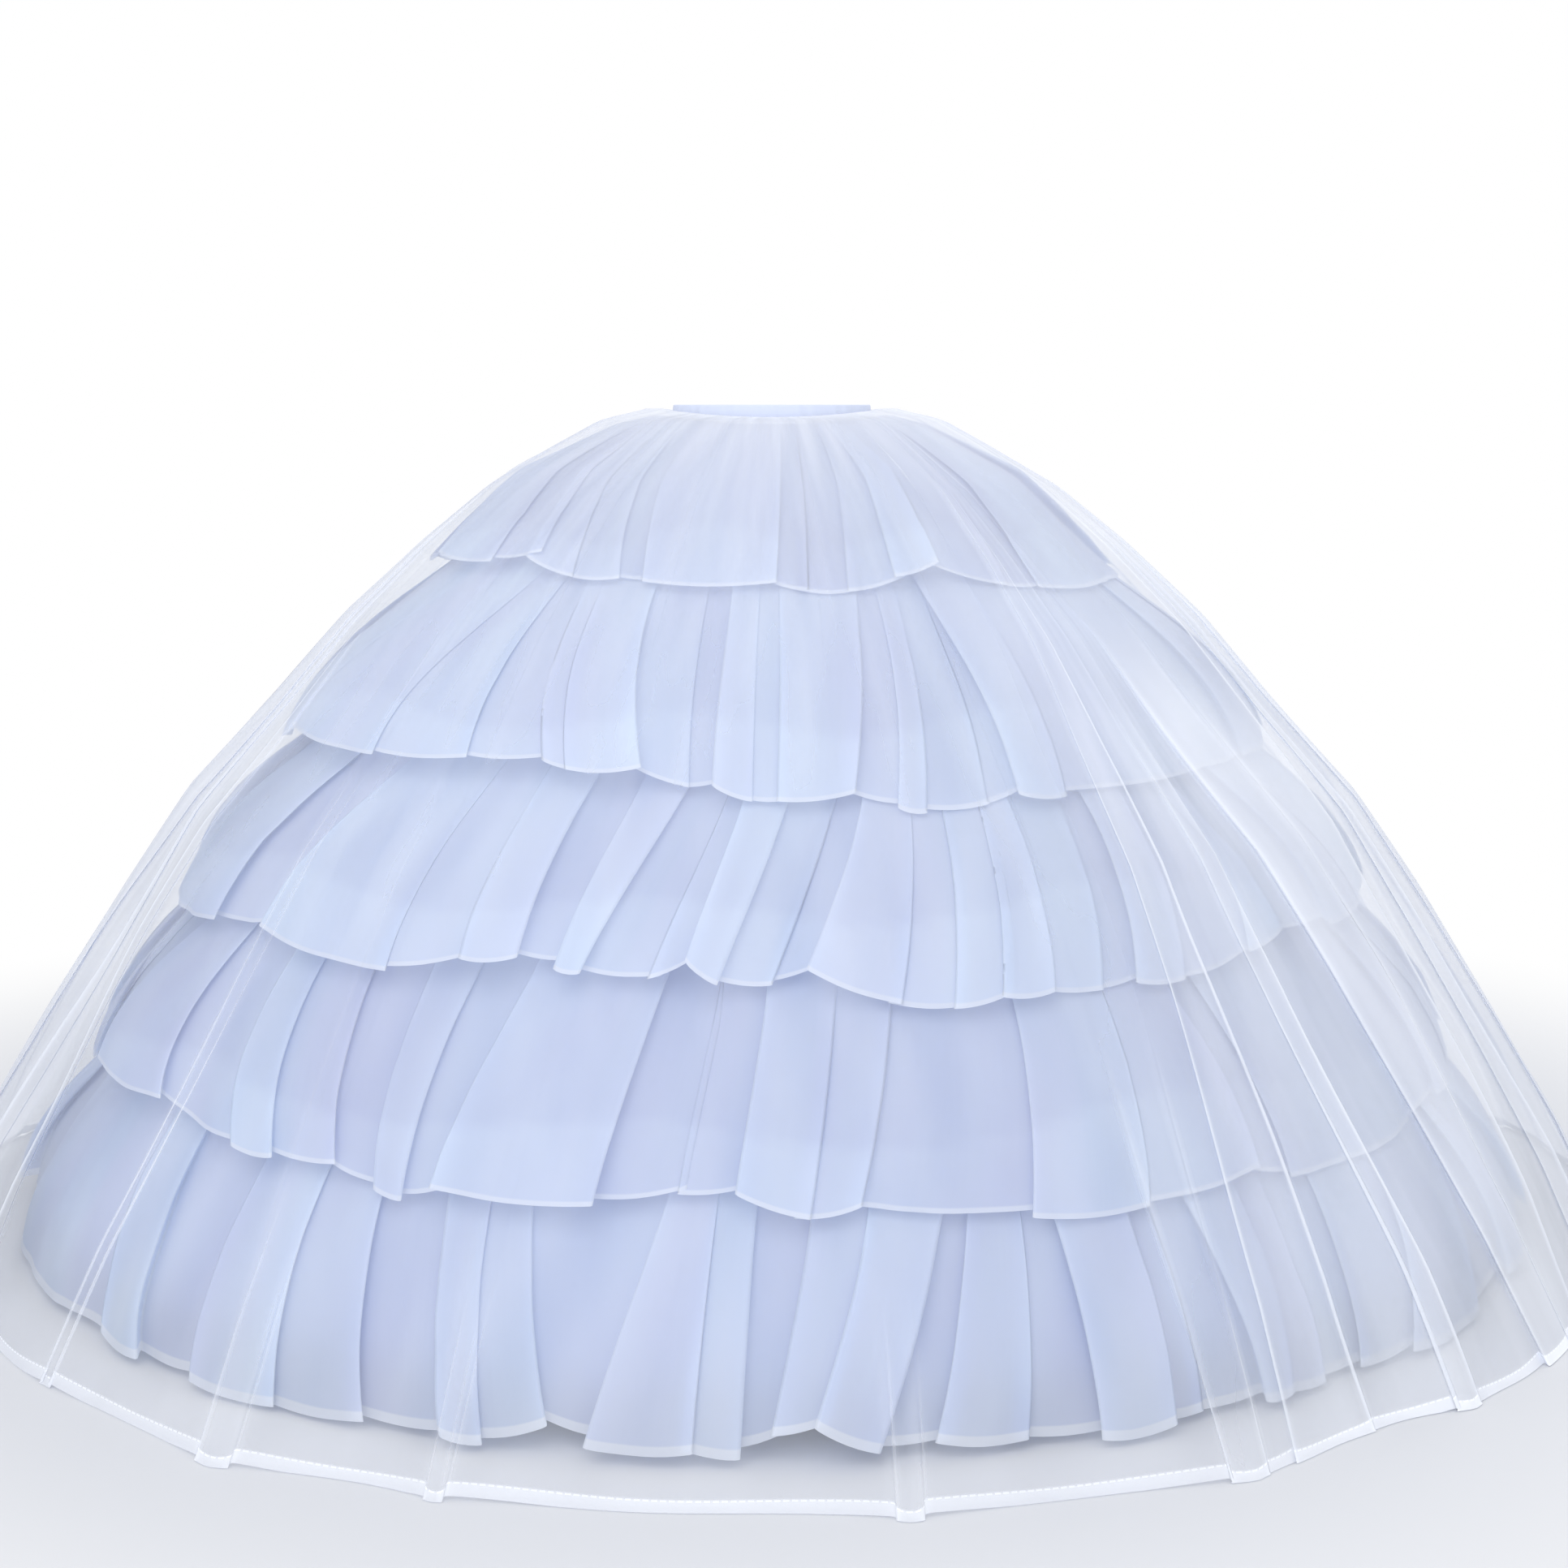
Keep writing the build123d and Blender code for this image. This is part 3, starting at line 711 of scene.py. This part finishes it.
# Overlay: broad and smooth on the front, finely rippled towards the sides, with long folds that run up from the hem
rng = np.random.default_rng(70)
edges = fill_round(
    OVERLAY_EDGES, OVERLAY_LINE[-1][0], rng, raised=(0.060, 0.170), sunk=(0.080, 0.200), dip=0, latest=0.3,
)
radius, turn, height, across, down, width, length, crest, edge, behind = folded_ring(
    OVERLAY_LINE, soften=4, edges=edges, depth=0.005, puff=0.0, seed=90,
    overlaps=(0.006, 0.012), opening=0.15, spacing=0.0095, rows=96, crowd=1.4,
    under=under, gap=0.003, loose=1, wave=0.006, wave_lengths=(0.25, 0.9), ripple=overlay_gathers,
)
tulle = nylon_tulle("nylon_tulle", "#F2F6FF", OVERLAY_HEM)
# One layer hides a seventh of what is behind it; the gathers lay more and more of it together towards the waist
single = 0.14
gathered = 1 - (1 - single) ** (width / (2 * math.pi * np.maximum(radius, 0.15)))
side = 1 - smooth_front(turn, -75, -50)
lower = ease(0.15, 0.5, down / length)
cover = gathered + 0.26 * side * lower + 0.18 * crest * (0.4 + 0.6 * side) + 0.03 * behind + 0.14 * edge
cover = cover + 0.02 * waves(across, down, width, rng, 20, 0.04, 0.25)
overlay = cloth_ring("tulle_overlay", radius, turn, height, across, down, width, {"cover": cover})
finish_piece(overlay, tulle, ["overlay"])

# Waistband: folded over the elastic, its edge just inside the opening
band_line = [(BAND_OPENING, 0.9760), (BAND_OPENING, 0.9785)]
for step in range(1, 8):
    bend = math.pi * (1 - step / 8)
    middle = (BAND_OPENING + BAND_OUTSIDE) / 2
    half = (BAND_OUTSIDE - BAND_OPENING) / 2
    band_line.append((middle + half * math.cos(bend), WAIST_TOP - 0.0016 + 0.0016 * math.sin(bend)))
for step in range(9):
    band_line.append((BAND_OUTSIDE + 0.0008 * math.sin(math.pi * step / 8), 0.9780 - 0.0180 * step / 8))
band, *_ = plain_ring(
    "waistband_cloth", band_line, 360,
    lambda turn, down: 0.0003 * np.sin(np.radians(turn * 31)) + 0.00025 * np.sin(np.radians(turn * 47 + 40)),
)
band_cloth = cotton_cloth("band_cotton", "#D8DFF1", "#D3DBEF", 0.0009, (0.0025,))
finish_piece(band, band_cloth, ["waistband"])

# Finishes of the rigid pieces
finishes = {"hoop_joiner_": folded_steel(), "hoop_": coated_spring_strip(), "waist_elastic": ribbed_elastic()}
for name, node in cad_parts.items():
    for start, material in finishes.items():
        if name.startswith(start) and not name.startswith("hoop_casing"):
            node.data.materials.clear()
            node.data.materials.append(material)
            break

# Floor: grey near the skirt as a painted shadow, besides the shadow that the skirt casts, and white further out
floor_painted_shadow = new_material("floor_with_painted_shadow")
spot = add(floor_painted_shadow, "ShaderNodeTexCoord", {}, {})
far = add(floor_painted_shadow, "ShaderNodeVectorMath", {"operation": "LENGTH"}, {0: spot.outputs["Object"]})
fade = add(floor_painted_shadow, "ShaderNodeMapRange", {"interpolation_type": "SMOOTHSTEP"}, {
    "Value": far.outputs["Value"], "From Min": 1.05, "From Max": 1.9})
# Painted shadow: this grey lies on the floor near the skirt and gives way to white from 1.05 m out, as the camera sees
# it
matt = add(floor_painted_shadow, "ShaderNodeBsdfPrincipled", {}, {"Base Color": linear("#D3D5DA"), "Roughness": 0.9})
white = add(floor_painted_shadow, "ShaderNodeEmission", {}, {"Color": (1, 1, 1, 1), "Strength": 1.0})
path = add(floor_painted_shadow, "ShaderNodeLightPath", {}, {})
seen = add(floor_painted_shadow, "ShaderNodeMath", {"operation": "MULTIPLY"}, {
    0: fade.outputs["Result"], 1: path.outputs["Is Camera Ray"]})
paper = add(floor_painted_shadow, "ShaderNodeMixShader", {}, {
    0: seen.outputs["Value"], 1: matt.outputs["BSDF"], 2: white.outputs["Emission"]})
add(floor_painted_shadow, "ShaderNodeOutputMaterial", {}, {"Surface": paper.outputs["Shader"]})
bpy.ops.object.select_all(action="DESELECT")
bpy.ops.mesh.primitive_plane_add(size=24, location=(0, 0, 0))
floor = bpy.context.object
floor.name = "floor"
floor.data.materials.append(floor_painted_shadow)

# World: even soft light, and white where it is seen
world = bpy.data.worlds.new("studio")
bpy.context.scene.world = world
world.use_nodes = True
world.node_tree.nodes.clear()
sky = add(world, "ShaderNodeBackground", {}, {"Color": (1.0, 1.0, 1.0, 1.0), "Strength": 0.91})
blank = add(world, "ShaderNodeBackground", {}, {"Color": (1.0, 1.0, 1.0, 1.0), "Strength": 1.0})
path = add(world, "ShaderNodeLightPath", {}, {})
either = add(world, "ShaderNodeMath", {"operation": "MAXIMUM"}, {
    0: path.outputs["Is Camera Ray"], 1: path.outputs["Is Transmission Ray"]})
both = add(world, "ShaderNodeMixShader", {}, {
    0: either.outputs["Value"], 1: sky.outputs["Background"], 2: blank.outputs["Background"]})
add(world, "ShaderNodeOutputWorld", {}, {"Surface": both.outputs["Shader"]})

# Lamps: a large soft one from the front, a weaker one from the back
for name, place, size, power in (
    ("key", (-0.6, -3.8, 3.2), 3.2, 82), ("back", (1.8, 3.4, 3.2), 3.2, 50),
):
    lamp = bpy.data.lights.new(name, "AREA")
    lamp.size = size
    lamp.energy = power
    holder = bpy.data.objects.new(name, lamp)
    bpy.context.scene.collection.objects.link(holder)
    away = np.array(place) - np.array((0, 0, 0.45))
    flat = math.hypot(away[0], away[1])
    holder.location = place
    holder.rotation_euler = (math.atan2(flat, away[2]), 0, math.atan2(away[0], -away[1]))

# Camera: 3.2 m in front, at waist height, tipped down
eye = bpy.data.cameras.new("eye")
eye.sensor_width = 36
eye.lens = 58.99
camera = bpy.data.objects.new("eye", eye)
camera.location = (0.015, -3.2, 0.980)
camera.rotation_euler = (math.radians(90 - 8.4), 0, 0)
bpy.context.scene.collection.objects.link(camera)
bpy.context.scene.camera = camera

bpy.context.scene.view_settings.view_transform = "Standard"
